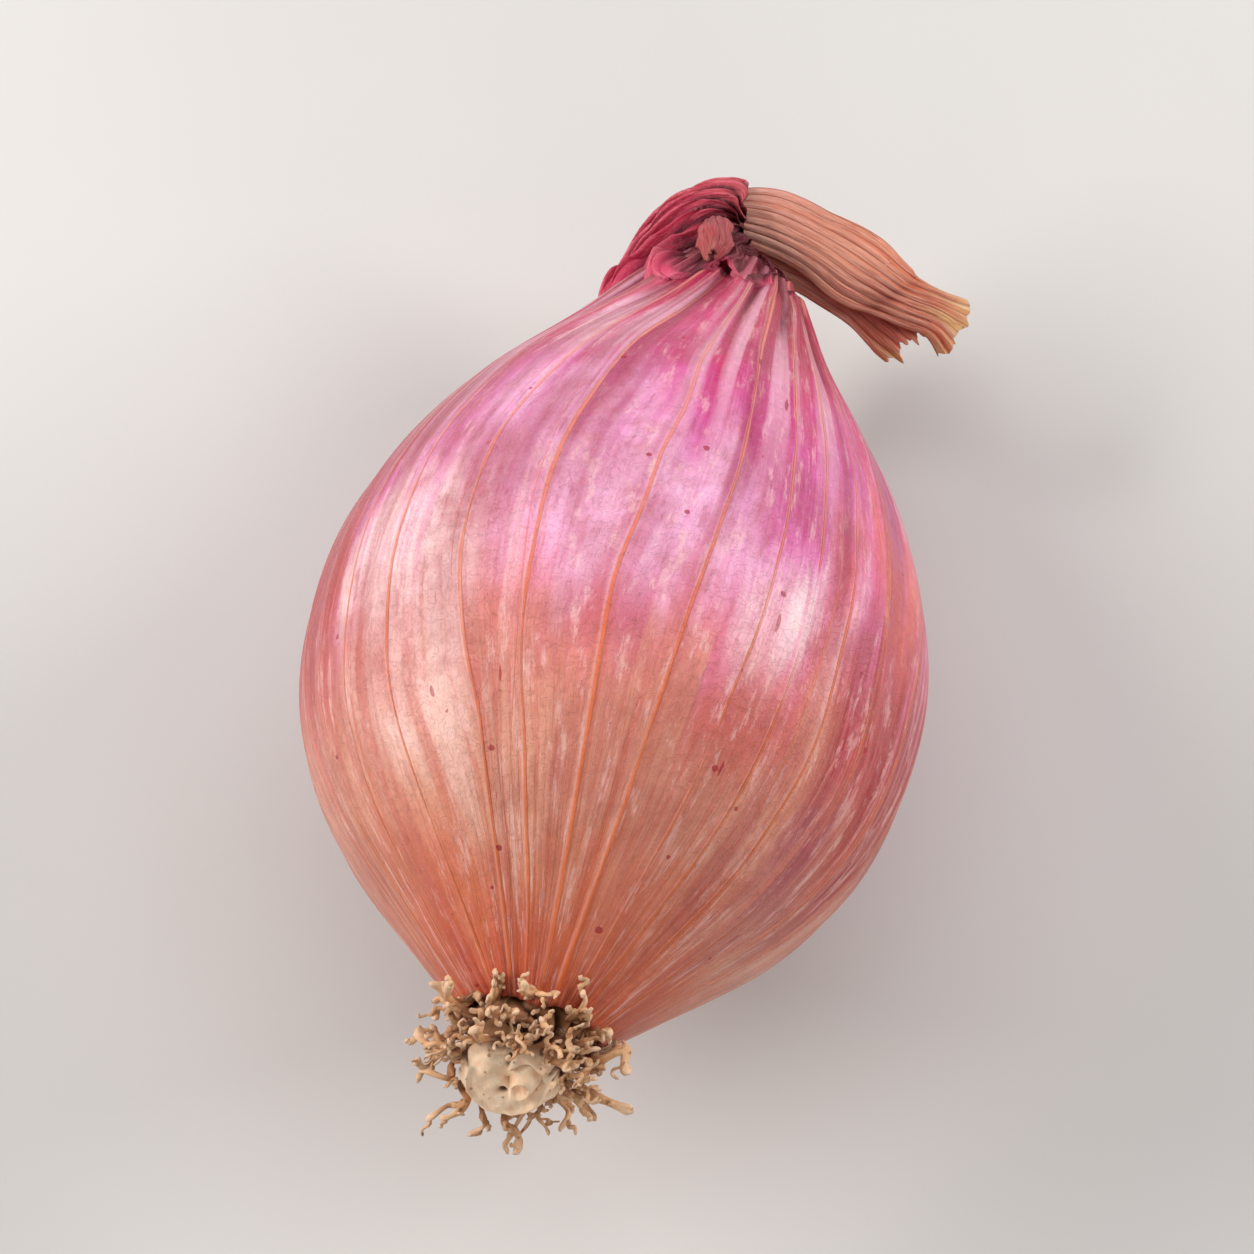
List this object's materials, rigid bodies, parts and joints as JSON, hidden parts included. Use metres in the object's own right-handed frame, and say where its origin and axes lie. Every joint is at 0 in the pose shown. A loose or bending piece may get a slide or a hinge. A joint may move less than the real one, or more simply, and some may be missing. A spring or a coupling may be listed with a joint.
{
  "type": "pink shallot",
  "caption": "Pink shallot bulb lying on its side, with a tuft of dry rootlets at one end and a withered neck folded over at the other.",
  "frame": {"origin": "middle of the small flat spot on the belly, where the shallot touches the surface it lies on", "axes": "+Y along the bulb towards the withered neck, -Y towards the roots, -Z out of the flat spot into the surface"},
  "size_m": [0.0385, 0.0674, 0.0372],
  "materials": {
    "pink_skin": "satin",
    "crimson_neck": "matte",
    "withered_leaf": "matte",
    "pale_plate": "matte",
    "dry_root": "matte"
  },
  "bodies": {
    "root": {"bulb": "pink_skin", "neck_knot": "crimson_neck", "leaf_strap": "withered_leaf", "leaf_torn": "withered_leaf", "skin_flake": "withered_leaf", "root_plate": "pale_plate", "root_01": "dry_root", "root_02": "dry_root", "root_03": "dry_root", "root_04": "dry_root", "root_05": "dry_root", "root_06": "dry_root", "root_07": "dry_root", "root_08": "dry_root", "root_09": "dry_root", "root_10": "dry_root", "root_11": "dry_root", "root_12": "dry_root", "root_13": "dry_root", "root_14": "dry_root", "root_15": "dry_root", "root_16": "dry_root", "root_17": "dry_root", "root_18": "dry_root", "root_19": "dry_root", "root_20": "dry_root", "root_21": "dry_root", "root_22": "dry_root", "root_23": "dry_root", "root_24": "dry_root", "root_25": "dry_root", "root_26": "dry_root", "root_27": "dry_root", "root_28": "dry_root", "root_29": "dry_root", "root_30": "dry_root", "root_31": "dry_root", "root_32": "dry_root", "root_33": "dry_root", "root_34": "dry_root", "root_35": "dry_root", "root_36": "dry_root", "root_37": "dry_root", "root_38": "dry_root", "root_39": "dry_root", "root_40": "dry_root", "root_41": "dry_root", "root_42": "dry_root"}
  },
  "joints": []
}
